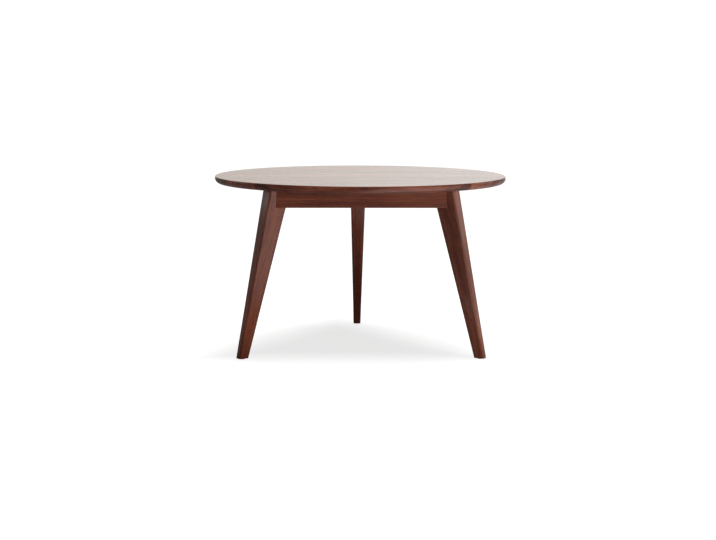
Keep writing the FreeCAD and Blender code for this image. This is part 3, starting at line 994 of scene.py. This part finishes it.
@dataclass
class Legs:
    """The three legs: tapered both ways, long edges rounded, planed upright where the block sits.

    The shades and edges, in the order of the corners, are painted light and shade: the rear leg darker, the
    front legs lighter, and the rear and front left legs' eased edges darker.
    """

    top_width: float = 0.059
    foot_width: float = 0.028
    top_inset: float = 0.105
    foot_thickness: float = 0.020
    top_thickness: float = 0.044
    edge_radius: float = 0.005
    edge_steps: int = 8
    foot_arris: float = 0.0008
    foot_steps: int = 2
    bolt_hole: float = 0.00315
    bolt_depth: float = 0.031
    glide_hole: float = 0.00765
    glide_recess: float = 0.0015
    nail_hole: float = 0.00125
    nail_depth: float = 0.016
    overrun: float = 0.002
    # Painted shade and light, one value per leg: rear darker, front legs lighter, edges darker on rear and
    # front left
    shades: tuple[float, ...] = (-0.20, 0.24, 0.20)
    edges: tuple[float, ...] = (0.15, 0.32, 0.0)
    grain_shift: float = 0.2
    heart_away: Span = (0.06, 0.12)
    heart_aside: float = 0.03
    seed: int = 5
    foot_outer: float = field(init=False)
    top_outer: float = field(init=False)
    flat: float = field(init=False)
    bottom: float = field(init=False)
    top: float = field(init=False)

    def __post_init__(self) -> None:
        """Take the legs' reach and height from the frame."""
        low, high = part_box("leg_rear")
        self.foot_outer, self.flat = high.y, low.y
        self.bottom, self.top = low.z, high.z
        self.top_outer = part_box("top_board_4")[1].x - self.top_inset

    def leg(self) -> Piece:
        """Model one leg along +X.

        Returns:
            The leg.
        """
        foot = self.foot_outer - self.foot_width / 2
        head = self.top_outer - self.top_width / 2
        leg = started(
            "leg", bpy.ops.mesh.primitive_cube_add, size=1.0,
            location=(foot, 0.0, (self.bottom + self.top) / 2),
            scale=(self.foot_width, self.foot_thickness, self.top - self.bottom),
        )
        with shaping(leg):
            pick(leg, "VERT", lambda vertex: vertex.co.z > self.top - HAIR)
            growth = (self.top_width / self.foot_width, self.top_thickness / self.foot_thickness, 1.0)
            bpy.ops.transform.resize(value=growth, center_override=(foot, 0.0, self.top))
            bpy.ops.transform.translate(value=(head - foot, 0.0, 0.0))
            pick(leg, "EDGE", lambda edge: abs(edge.verts[0].co.z - edge.verts[1].co.z) > self.top / 2)
            round_edges(self.edge_radius, self.edge_steps)
            keep_side(Vector((self.flat, 0.0, self.top)), Vector((-1.0, 0.0, 0.0)))
            pick(leg, "EDGE", lambda edge: all(v.co.z < self.bottom + HAIR for v in edge.verts))
            round_edges(self.foot_arris, self.foot_steps)
        mark_wear_and_shade(leg, lambda point, normal: normal)
        self._bore(leg, Matrix.Translation((foot, 0.0, 0.0)))
        return smoothed(leg)

    def _bore(self, leg: Piece, under: Matrix) -> None:
        """Bore a leg for its bolts, its glide and the glide's nail.

        Args:
            leg: The leg along +X.
            under: Shift to the middle of the foot.
        """
        low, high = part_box("hanger_bolts")
        middle, half = (low.z + high.z) / 2, (high.z - low.z) / 2 - self.bolt_hole
        start, end = self.flat - self.overrun, self.flat + self.bolt_depth
        for height in (middle - half, middle + half):
            move = Matrix.Translation((0.0, 0.0, height)) @ ALONG_X
            combined(leg, drill(self.bolt_hole, start, end, move), Joining.CUT)
        seat = self.bottom + self.glide_recess
        recess = ((self.glide_hole, self.bottom - self.overrun), (self.glide_hole, seat))
        combined(leg, turned("recess", recess, GLIDE_SIDES, under), Joining.CUT)
        combined(leg, drill(self.nail_hole, 0.0, seat + self.nail_depth, under), Joining.CUT)

    def build(self) -> None:
        """Copy the leg to its three corners and dress the copies."""
        leg = self.leg()
        draw = Draw(self.seed)
        lean = math.atan2(self.foot_outer - self.top_outer, self.top - self.bottom)
        upright = Matrix.Rotation(math.pi / 2 - lean, 4, "Y")
        middle = (self.foot_outer + self.top_outer - self.top_width) / 2
        for corner, shade, edge in zip(Corner, self.shades, self.edges):
            node = f"leg_{corner.label}"
            piece = copied(leg, f"{node}_wood", corner.turn)
            centre = corner.turn @ Vector((middle, 0.0, self.top / 2 + draw.within(self.grain_shift)))
            heart = (draw.uniform(*self.heart_away), draw.within(self.heart_aside))
            turn = (corner.turn @ upright).to_euler()
            material = TABLE_WOOD.material(node, Stock(centre, turn, heart, shade, edge))
            fitted(piece, material, node)
        dropped(leg)


@dataclass
class Rails:
    """The three rails under the top, which stay as they come from the frame."""

    shade: float = -0.13
    shade_swing: float = 0.04
    grain_shift: float = 0.3
    heart_aside: float = 0.02
    heart_away: Span = (0.10, 0.16)
    seed: int = 21

    def build(self) -> None:
        """Dress the rails, the grain along each."""
        draw = Draw(self.seed)
        low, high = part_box("rail_front")
        middle = (low + high) / 2
        for side in Side:
            node = f"rail_{side.label}"
            centre = side.turn @ Vector((-middle.y, draw.within(self.grain_shift), middle.z))
            heart = (draw.within(self.heart_aside), draw.uniform(*self.heart_away))
            shade = self.shade + draw.within(self.shade_swing)
            stock = Stock(centre, (side.turn @ ALONG_Y).to_euler(), heart, shade)
            dressed(node, TABLE_WOOD.material(node, stock))


@dataclass
class CornerBlocks:
    """The blocks behind the legs, in a plain pale wood, which stay as they come from the frame."""

    heart_away: Span = (0.04, 0.07)
    heart_aside: float = 0.05
    seed: int = 33

    def build(self) -> None:
        """Dress the blocks, the grain across each corner."""
        draw = Draw(self.seed)
        low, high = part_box("corner_block_rear")
        middle = (low + high) / 2
        for corner in Corner:
            node = f"corner_block_{corner.label}"
            centre = corner.turn @ Vector((middle.y, 0.0, middle.z))
            heart = (draw.uniform(*self.heart_away), draw.within(self.heart_aside))
            stock = Stock(centre, (corner.turn @ ALONG_Y).to_euler(), heart)
            dressed(node, BLOCK_WOOD.material(node, stock))


@dataclass(frozen=True)
class Thread:
    """A screw thread that runs along +Z from one level to another.

    Its crest begins, its crest ends and its flank ends at these shares of the pitch.
    """

    core: float
    crest: float
    pitch: float
    low: float
    high: float
    shares: Triple = (0.4, 0.55, 0.95)
    sides: int = 20
    spare_turns: int = 2

    def rod(self) -> Piece:
        """Wind the thread as a rod with flat ends.

        Returns:
            The rod.
        """
        radii = (self.core, self.crest, self.crest, self.core, self.core)
        outline = tuple(zip(radii, (0.0, *self.shares, 1.0)))
        spare = self.spare_turns * self.pitch
        rod = started("thread", bpy.ops.mesh.primitive_plane_add, size=self.pitch)
        with shaping(rod):
            bpy.ops.mesh.select_all(action="SELECT")
            bpy.ops.mesh.merge(type="CENTER")
            bpy.ops.transform.translate(value=(self.core, 0.0, self.low - spare))
            for (radius, share), (next_radius, next_share) in zip(outline, outline[1:]):
                step = (next_radius - radius, 0.0, (next_share - share) * self.pitch)
                bpy.ops.mesh.extrude_vertices_move(TRANSFORM_OT_translate={"value": step})
        winding = rod.modifiers.new("winding", "SCREW")
        winding.axis = "Z"
        winding.screw_offset = self.pitch
        winding.iterations = math.ceil((self.high - self.low + 2 * spare) / self.pitch)
        winding.steps = winding.render_steps = self.sides
        applied(rod, winding)
        with shaping(rod):
            welded(THREAD_WELD)
            keep_side(Vector((0.0, 0.0, self.high)), Vector((0.0, 0.0, 1.0)))
            keep_side(Vector((0.0, 0.0, self.low)), Vector((0.0, 0.0, -1.0)))
        return rod


@dataclass(frozen=True)
class WoodScrew:
    """A wood screw along +Z with a cross in its head, whose face is lowest."""

    name: str
    head: Profile
    length: float
    thread_start: float
    crest: float = 0.0020
    core: float = 0.0014
    pitch: float = 0.0016
    tip_share: float = 0.15
    cross_arm: float = 0.0019
    cross_width: float = 0.0008
    cross_depth: float = 0.0014
    cross_share: float = 0.5

    def pattern(self) -> Piece:
        """Model the screw: turned head and shank, wound thread, pressed cross.

        Returns:
            The screw.
        """
        neck = self.core * THREAD_FIT
        point = self.length - 2 * self.crest
        shank = ((neck, self.head[-1][1]), (neck, point), (neck * self.tip_share, self.length))
        screw = turned(self.name, (*self.head, *shank), SHANK_SIDES)
        thread = Thread(self.core, self.crest, self.pitch, self.thread_start, point)
        combined(screw, thread.rod(), Joining.UNITE)
        combined(screw, self._cross(), Joining.CUT)
        return smoothed(screw, TURNED_SHARP)

    def _cross(self) -> Piece:
        """Model the cross that is pressed into the head: four arms that narrow as they go in.

        Returns:
            The cross.
        """
        face, half = self.head[0][1], self.cross_width / 2
        cross = started(
            "cross", bpy.ops.mesh.primitive_cube_add, size=self.cross_width, location=(0.0, 0.0, face),
        )
        with shaping(cross):
            pick(cross, "FACE", lambda side: abs(side.normal.z) < 1.0 - LEVEL)
            bpy.ops.mesh.extrude_faces_move(TRANSFORM_OT_shrink_fatten={"value": self.cross_arm - half})
            pick(cross, "VERT", lambda vertex: vertex.co.z > face)
            bpy.ops.transform.translate(value=(0.0, 0.0, self.cross_depth - half))
            inner = (self.cross_share, self.cross_share, 1.0)
            bpy.ops.transform.resize(value=inner, center_override=(0.0, 0.0, face + self.cross_depth))
        return cross


@dataclass
class LegBolts:
    """The hanger bolts that pull the legs to their blocks, with their washers and nuts."""

    radius: float = 0.003
    machine_core: float = 0.00245
    machine_pitch: float = 0.001
    wood_core: float = 0.0022
    wood_pitch: float = 0.0022
    wood_depth: float = 0.030
    shank_before: float = 0.007
    shank_inside: float = 0.002
    shank_share: float = 0.9
    point: float = 0.006
    tip_share: float = 0.1
    proud: float = 0.003
    washer_radius: float = 0.006
    washer_hole: float = 0.0034
    washer_edge: float = 0.0002
    across_flats: float = 0.010
    nut_height: float = 0.005
    nut_hole: float = 0.00315
    nut_bevel: float = 0.00055
    nut_face_share: float = 0.97
    nut_girth_share: float = 1.01
    nut_start: float = field(init=False)
    nut_end: float = field(init=False)
    washer_end: float = field(init=False)
    tip: float = field(init=False)
    heights: dict[str, float] = field(init=False)

    def __post_init__(self) -> None:
        """Take the bolts' places from the frame."""
        low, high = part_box("hanger_bolts")
        self.heights = {"lower": low.z + self.radius, "upper": high.z - self.radius}
        self.tip = high.y
        self.nut_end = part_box("bolt_nuts")[1].y
        self.nut_start = self.nut_end - self.nut_height
        self.washer_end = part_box("bolt_washers")[1].y

    def bolt(self) -> Piece:
        """Model a bolt: machine thread at the nut, plain shank, wood thread and point in the leg.

        Returns:
            The bolt along +Z, from its nut end.
        """
        length = self.tip - self.nut_start + self.proud
        leg_face = length - self.wood_depth
        shank_start, shank_end = leg_face - self.shank_before, leg_face + self.shank_inside
        shank = self.radius * self.shank_share
        machine, wood = self.machine_core * THREAD_FIT, self.wood_core * THREAD_FIT
        ease = self.radius - self.machine_core
        point = length - self.point
        profile = (
            (machine - ease, 0.0), (machine, ease), (machine, shank_start), (shank, shank_start + ease),
            (shank, shank_end - ease), (wood, shank_end), (wood, point), (wood * self.tip_share, length),
        )
        bolt = turned("hanger_bolt", profile, SHANK_SIDES)
        threads = (
            Thread(self.machine_core, self.radius, self.machine_pitch, ease, shank_start - ease),
            Thread(self.wood_core, self.radius, self.wood_pitch, shank_end + ease, point),
        )
        for thread in threads:
            combined(bolt, thread.rod(), Joining.UNITE)
        return smoothed(bolt, TURNED_SHARP)

    def washer(self) -> Piece:
        """Model a stamped washer with eased edges.

        Returns:
            The washer along +Z, from its nut's side.
        """
        hole, rim, edge = self.washer_hole, self.washer_radius, self.washer_edge
        thick = self.washer_end - self.nut_end
        profile = (
            (hole, edge), (hole + edge, 0.0), (rim - edge, 0.0), (rim, edge),
            (rim, thick - edge), (rim - edge, thick), (hole + edge, thick), (hole, thick - edge),
        )
        return smoothed(turned("bolt_washer", profile, WASHER_SIDES, ring=True))

    def nut(self) -> Piece:
        """Model a hex nut: corners turned off on both faces, bore countersunk.

        Returns:
            The nut.
        """
        height, bevel, bore = self.nut_height, self.nut_bevel, self.nut_hole
        flat = self.across_flats / 2
        corner = flat / math.cos(math.pi / HEX)
        nut = started("bolt_nut", bpy.ops.mesh.primitive_cylinder_add, vertices=HEX, radius=corner,
                      depth=height, location=(0.0, 0.0, height / 2))
        face, girth, sink = self.nut_face_share * flat, self.nut_girth_share * corner, bore + 2 * bevel
        blank = ((face, 0.0), (girth, bevel), (girth, height - bevel), (face, height))
        hole = ((sink, -bevel), (bore, bevel), (bore, height - bevel), (sink, height + bevel))
        combined(nut, turned("nut_blank", blank, NUT_SIDES), Joining.COMMON)
        combined(nut, turned("nut_bore", hole, BORE_SIDES), Joining.CUT)
        return smoothed(nut, HEX_SHARP)

    def spots(self, reach: float) -> Iterator[tuple[str, Matrix]]:
        """Give the name and place of each bolt, or of what is on it.

        Args:
            reach: Distance from the table's axis.

        Yields:
            The end of the piece's name, and its place.
        """
        for corner in Corner:
            for level, height in self.heights.items():
                move = corner.turn @ Matrix.Translation((reach, 0.0, height)) @ ALONG_X
                yield f"{corner.label}_{level}", move

    def build(self) -> None:
        """Fit bolts, washers and nuts at the three legs."""
        fastened(self.bolt(), "hanger_bolts", self.spots(self.nut_start - self.proud))
        fastened(self.washer(), "bolt_washers", self.spots(self.nut_end))
        fastened(self.nut(), "bolt_nuts", self.spots(self.nut_start))


@dataclass
class BlockScrews:
    """The pan-head screws that hold the corner blocks to the rails."""

    grip: float = 0.0095
    depth: float = 0.011
    counterbore: float = 0.0045
    margin: float = 0.0005
    head: DomedHead = DomedHead(face=0.0024, radius=0.004, height=0.0026, side=0.0008, edge=0.0002, steps=4)
    thread_start: float = 0.002

    def spots(self) -> Iterator[tuple[str, Matrix]]:
        """Give the name and place of each screw, four on each rail.

        Yields:
            The end of the screw's name, and its place.
        """
        low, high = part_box("block_screws")
        heights = (low.z + self.head.radius, high.z - self.head.radius)
        seat = -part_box("rail_front")[1].y - self.grip
        place = block_corner() + self.counterbore + self.grip / math.tan(LEG_TO_RAIL) + self.margin
        spots = [(seat, along, height) for along in (-place, place) for height in heights]
        for side in Side:
            for number, spot in enumerate(spots, start=1):
                yield f"{side.label}_{number}", side.turn @ Matrix.Translation(spot) @ ALONG_X

    def build(self) -> None:
        """Drive the screws."""
        screw = WoodScrew("block_screw", self.head.profile(), self.grip + self.depth, self.thread_start)
        fastened(screw.pattern(), "block_screws", self.spots())


@dataclass
class TopClips:
    """The figure-eight clips between rails and top, with their countersunk screws."""

    place_share: float = 0.6
    inset: float = 0.0065
    spacing: float = 0.014
    rail_lobe: float = 0.0085
    top_lobe: float = 0.0075
    edge: float = 0.00025
    hole: float = 0.00215
    countersink: float = 0.00415
    rail_screw: float = 0.020
    top_screw: float = 0.014
    head: Profile = ((0.0036, 0.0), (0.0038, 0.0001), (0.0038, 0.0002), (0.0016, 0.0024))
    place: float = field(init=False)
    lower: float = field(init=False)
    upper: float = field(init=False)
    reach: float = field(init=False)

    def __post_init__(self) -> None:
        """Take the clips' places from the frame."""
        self.place = block_corner() * self.place_share
        low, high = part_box("top_clips")
        self.lower, self.upper = low.z, high.z
        self.reach = self.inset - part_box("rail_front")[1].y

    def spots(self, lobe: float, stand: Matrix = Matrix()) -> Iterator[tuple[str, Matrix]]:
        """Give the name and place of each clip's rail lobe, or of what lies a distance in from it.

        Args:
            lobe: Distance from the rail lobe towards the table's axis.
            stand: Height and turn there.

        Yields:
            The end of the piece's name, and its place.
        """
        for side in Side:
            for number, along in enumerate((-self.place, self.place), start=1):
                spot = side.turn @ Matrix.Translation((self.reach - lobe, along, 0.0))
                yield f"{side.label}_{number}", spot @ stand

    def clip(self) -> Piece:
        """Model a clip: two stamped lobes, one countersunk from above and one from below.

        Returns:
            The clip, its rail lobe on the axis and its lower face at zero.
        """
        edge, thick = self.edge, self.upper - self.lower
        over_rail, over_top = Matrix(), Matrix.Translation((-self.spacing, 0.0, 0.0))
        lobes = []
        sizes = (("top_clip", self.rail_lobe, over_rail), ("top_lobe", self.top_lobe, over_top))
        for name, radius, move in sizes:
            profile = ((radius - edge, 0.0), (radius, edge), (radius, thick - edge), (radius - edge, thick))
            lobes.append(turned(name, profile, CLIP_SIDES, move))
        clip, top_lobe = lobes
        combined(clip, top_lobe, Joining.UNITE)
        flare = self.countersink - self.hole
        sink = ((self.countersink + edge, -edge), (self.hole, flare), (self.hole, thick + edge))
        for move in (Matrix.Translation((0.0, 0.0, thick)) @ HEAD_UP, over_top):
            combined(clip, turned("countersink", sink, BORE_SIDES, move), Joining.CUT)
        return smoothed(clip)

    def build(self) -> None:
        """Fit two clips on each rail, each with its two screws."""
        below, above = (Matrix.Translation((0.0, 0.0, level)) for level in (self.lower, self.upper))
        start = self.upper - self.lower + self.edge
        rail_screw = WoodScrew("clip_rail_screw", self.head, self.rail_screw, start)
        top_screw = WoodScrew("clip_top_screw", self.head, self.top_screw, start)
        fastened(self.clip(), "top_clips", self.spots(0.0, below))
        fastened(rail_screw.pattern(), "clip_rail_screws", self.spots(0.0, above @ HEAD_UP))
        fastened(top_screw.pattern(), "clip_top_screws", self.spots(self.spacing, below))


@dataclass
class FootGlides:
    """The nylon glides under the feet, and their nails."""

    radius: float = 0.0075
    edge_round: float = 0.0008
    round_steps: int = 5
    upper_edge: float = 0.0002
    recess: float = 0.003
    web: float = 0.0012
    hole: float = 0.00125
    nail_radius: float = 0.0011
    nail_length: float = 0.0162
    nail_tip_share: float = 0.1
    nail_head: DomedHead = DomedHead(
        face=0.0018, radius=0.0025, height=0.0009, side=0.0006, edge=0.0001, steps=3,
    )
    thickness: float = field(init=False)
    reach: float = field(init=False)

    def __post_init__(self) -> None:
        """Take the glides' place from the frame."""
        low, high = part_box("foot_glide_rear")
        self.thickness = high.z
        self.reach = (low.y + high.y) / 2

    def glide(self) -> Piece:
        """Model a glide: lower edge rounded, a recess that hides the nail's head.

        Returns:
            The glide.
        """
        bend, edge, thick = self.edge_round, self.upper_edge, self.thickness
        rounded = arc((self.radius - bend, bend), (bend, bend), 0.0, -90.0, self.round_steps)
        web = thick - self.web
        profile = (
            (self.hole, thick), (self.radius - edge, thick), (self.radius, thick - edge), *rounded,
            (self.recess + edge, 0.0), (self.recess, edge), (self.recess, web), (self.hole, web),
        )
        return smoothed(turned("foot_glide", profile, GLIDE_SIDES, ring=True))

    def nail(self) -> Piece:
        """Model a nail with a slightly domed head, along +Z from under the head.

        Returns:
            The nail.
        """
        shank, length = self.nail_radius, self.nail_length
        point = ((shank, 0.0), (shank, length - 2 * shank), (shank * self.nail_tip_share, length))
        return smoothed(turned("glide_nail", (*self.nail_head.profile(), *point), SHANK_SIDES), TURNED_SHARP)

    def build(self) -> None:
        """Nail a glide under each foot."""
        steel, nylon = STEEL.material(), NYLON.material()
        glide, nail = self.glide(), self.nail()
        for corner in Corner:
            foot = corner.turn @ Matrix.Translation((self.reach, 0.0, 0.0))
            node = f"foot_glide_{corner.label}"
            fitted(copied(glide, f"{node}_nylon", foot), nylon, node)
            driven = foot @ Matrix.Translation((0.0, 0.0, self.thickness - self.web))
            fitted(copied(nail, f"glide_nail_{corner.label}", driven), steel, "glide_nails")
        dropped(glide)
        dropped(nail)


@dataclass
class Lamp:
    """A soft lamp that looks at the table and leaves no bright spot in its gloss."""

    name: str
    place: Vector
    size: float
    power: float

    def build(self, target: Vector) -> None:
        """Hang the lamp.

        Args:
            target: The point that it looks at.
        """
        data = bpy.data.lights.new(self.name, "AREA")
        data.shape = "DISK"
        data.size = self.size
        data.energy = self.power
        lamp = bpy.data.objects.new(self.name, data)
        lamp.location = self.place
        lamp.visible_camera = lamp.visible_glossy = False
        lamp.rotation_euler = (target - self.place).to_track_quat("-Z", "Y").to_euler()
        bpy.context.scene.collection.objects.link(lamp)


@dataclass
class Studio:
    """The white floor, the light and the camera.

    The floor's values are its shade in bounced light, near the table and far from it, the darker near one a
    painted shade; its shade to the camera; and its glow, which dips between the feet as a painted shadow. The
    gloss values say how much of that glow a gloss shows, a painted reflection: the rest on the left and
    right, and the full share at the right front.
    The room's values are spans of a direction's x, y or z, or of how far it lies aside, over which a
    light grows, and the light's strength on the left and right.
    """

    floor_size: float = 60.0
    floor_cells: int = 8
    # Painted shade: the floor is darker near the table in bounced light
    floor_near_painted_shade: float = 0.20
    floor_far: float = 0.85
    floor_seen: float = 0.24
    # Painted shadow: the floor's glow at the middle of the shadow
    painted_shadow_glow: float = 0.73
    bounce_reach: Span = (0.22, 0.74)
    shadow_centre: Vector = field(default_factory=lambda: Vector((-0.055, 0.035, 0.0)))
    shadow_reach: Span = (0.09, 0.36)
    # Painted reflection: how much of the floor's glow a gloss shows, by place
    gloss_rest: Span = (0.10, 0.24)
    painted_reflection_full: float = 1.4
    gloss_across: Span = (-0.4, 0.8)
    gloss_way: Vector = field(default_factory=lambda: Vector((1.0, 0.25, 0.0)))
    gloss_side: Span = (-0.16, -0.06)
    gloss_front: Span = (-0.27, -0.36)
    room_side: float = 0.12
    room_colours: tuple[Colour, Colour] = ((1.0, 0.965, 0.91), (1.0, 0.99, 0.955))
    colour_across: Span = (-0.05, 0.14)
    back_strength: Span = (0.80, 1.09)
    back_across: Span = (-0.16, 0.16)
    back_aside: Span = (0.28, 0.52)
    back_away: Span = (0.35, 0.85)
    front_strength: float = 0.15
    front_away: Span = (-0.25, -0.8)
    front_up: Span = (0.08, 0.5)
    front_top: float = 0.1
    box_low: Span = (0.0, 1.6)
    box_high: Span = (2.3, 1.6)
    box_across: Span = (-0.5, 0.5)
    box_up: Span = (0.07, 0.11)
    box_aside: Span = (0.76, 0.88)
    box_away: Span = (0.1, 0.3)
    lamps: tuple[Lamp, ...] = (
        Lamp("right_lamp", Vector((2.9, -2.9, 0.5)), 1.1, 92.0),
        Lamp("top_lamp", Vector((0.2, 0.0, 3.0)), 2.0, 85.0),
    )
    lamp_target: Vector = field(default_factory=lambda: Vector((0.0, 0.0, 0.3)))
    camera_place: Vector = field(default_factory=lambda: Vector((-0.0945, -3.9307, 0.7452)))
    camera_yaw: float = 1.30
    camera_pitch: float = 7.83
    camera_roll: float = 0.15
    camera_lens: float = 75.116
    camera_sensor: float = 36.0

    def build(self) -> None:
        """Set up the floor, the room's light, the lamps and the camera."""
        bpy.context.scene.view_settings.view_transform = "Standard"
        self.floor()
        self.room()
        for lamp in self.lamps:
            lamp.build(self.lamp_target)
        self.camera()

    def floor(self) -> None:
        """Lay the floor: white to the eye, and it takes the table's shadow, deepened by a painted shadow
        between the feet; it is painted darker near the table in bounced light and glows to gloss as a painted
        reflection.
        """
        floor = started("floor", bpy.ops.mesh.primitive_grid_add, size=self.floor_size,
                        x_subdivisions=self.floor_cells, y_subdivisions=self.floor_cells)
        sheet = NodeSheet.named("white_floor")
        path = sheet.add("ShaderNodeLightPath", {}).outputs
        camera, glossy = path["Is Camera Ray"], path["Is Glossy Ray"]
        gloss = self._gloss(sheet)
        own = sheet.place(self.shadow_centre)
        spot = sheet.vector("LENGTH", own)
        # Painted shade: darker floor near the table in bounced light.
        bounce = sheet.spread(spot, *self.bounce_reach, self.floor_near_painted_shade, self.floor_far)
        grey = sheet.add("ShaderNodeCombineColor", dict.fromkeys(range(3), bounce)).outputs[0]
        white = sheet.mix(camera, grey, (self.floor_seen,) * 3)
        # Painted reflection: to gloss, the matte part darkens and the glow follows the reflection share,
        # brighter than white at the right front.
        dim = sheet.math("MULTIPLY", glossy, sheet.math("SUBTRACT", 1.0, gloss))
        matte = sheet.add("ShaderNodeBsdfDiffuse", {"Color": sheet.mix(dim, white, BLACK)})
        # Painted shadow: the glow dips inside a triangle between the feet.
        sides = (sheet.vector("DOT_PRODUCT", own, side.turn.col[0].xyz) for side in Side)
        reach = sheet.fold("MAXIMUM", *sides)
        glow = sheet.spread(reach, *self.shadow_reach, self.painted_shadow_glow, 1.0)
        painted_reflection_glow = sheet.math("MULTIPLY", glossy, gloss)
        seen = sheet.fold("MAXIMUM", camera, painted_reflection_glow, path["Is Transmission Ray"])
        light = sheet.add("ShaderNodeEmission", {"Strength": sheet.math("MULTIPLY", seen, glow)})
        both = {0: matte.outputs[0], 1: light.outputs[0]}
        floor.data.materials.append(sheet.close("ShaderNodeAddShader", both))

    def _gloss(self, sheet: NodeSheet) -> Socket:
        """Say how much of the floor's glow a gloss shows, a painted reflection: most at the right front,
        little elsewhere.

        Args:
            sheet: The floor's nodes.

        Returns:
            The share.
        """
        own = sheet.place()
        x, y, _ = sheet.parts(own)
        aside = sheet.spread(sheet.vector("DOT_PRODUCT", own, self.gloss_way), *self.gloss_side)
        lit = sheet.math("MULTIPLY", aside, sheet.spread(y, *self.gloss_front))
        rest = sheet.spread(x, *self.gloss_across, *self.gloss_rest)
        return sheet.spread(lit, 0.0, 1.0, rest, self.painted_reflection_full)

    def room(self) -> None:
        """Light the room: a bright wall behind the table, a light box on each side, dim in front."""
        sheet = NodeSheet(bpy.data.worlds.new("studio_room"))
        x, y, z = sheet.parts(sheet.read("Generated"))
        aside = sheet.math("ABSOLUTE", x)
        wall = sheet.spread(x, *self.back_across, *self.back_strength)
        wall = sheet.math("MULTIPLY", wall, sheet.spread(aside, *self.back_aside, 1.0, self.room_side))
        back = sheet.spread(y, *self.back_away, self.room_side, wall)
        front = sheet.spread(y, *self.front_away, 0.0, self.front_strength)
        front = sheet.math("MULTIPLY", front, sheet.spread(z, *self.front_up, 1.0, self.front_top))
        low, high = (sheet.spread(x, *self.box_across, *ends) for ends in (self.box_low, self.box_high))
        boxes = sheet.fold(
            "MULTIPLY", sheet.spread(z, *self.box_up, low, high),
            sheet.spread(aside, *self.box_aside), sheet.spread(y, *self.box_away),
        )
        level = sheet.fold("ADD", back, front, boxes)
        camera = sheet.add("ShaderNodeLightPath", {}).outputs["Is Camera Ray"]
        tint = sheet.mix(sheet.spread(x, *self.colour_across), *self.room_colours)
        light = {"Color": sheet.mix(camera, tint, WHITE), "Strength": sheet.math("MAXIMUM", level, camera)}
        bpy.context.scene.world = sheet.close("ShaderNodeBackground", light)

    def camera(self) -> None:
        """Set the camera where the photograph was taken from."""
        angles = (self.camera_yaw, self.camera_pitch, self.camera_roll)
        yaw, pitch, roll = (math.radians(angle) for angle in angles)
        ahead = Vector((math.sin(yaw) * math.cos(pitch), math.cos(yaw) * math.cos(pitch), -math.sin(pitch)))
        right = Vector((math.cos(yaw), -math.sin(yaw), 0.0))
        up = right.cross(ahead)
        rolled_right = right * math.cos(roll) + up * math.sin(roll)
        rolled_up = up * math.cos(roll) - right * math.sin(roll)
        axes = Matrix((rolled_right, rolled_up, -ahead)).transposed().to_4x4()
        data = bpy.data.cameras.new("camera")
        data.lens = self.camera_lens
        data.sensor_width = self.camera_sensor
        camera = bpy.data.objects.new("camera", data)
        camera.matrix_world = Matrix.Translation(self.camera_place) @ axes
        bpy.context.scene.collection.objects.link(camera)
        bpy.context.scene.camera = camera


def main() -> None:
    """Build and dress the table, then set it in the studio."""
    logging.basicConfig(level=logging.INFO, format="%(message)s")
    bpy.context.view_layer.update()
    clips = TopClips()
    assemblies = (
        TableTop(clips), Legs(), Rails(), CornerBlocks(), LegBolts(), BlockScrews(), clips, FootGlides(),
    )
    for assembly in assemblies:
        assembly.build()
    Studio().build()


if __name__ == "__main__":
    main()
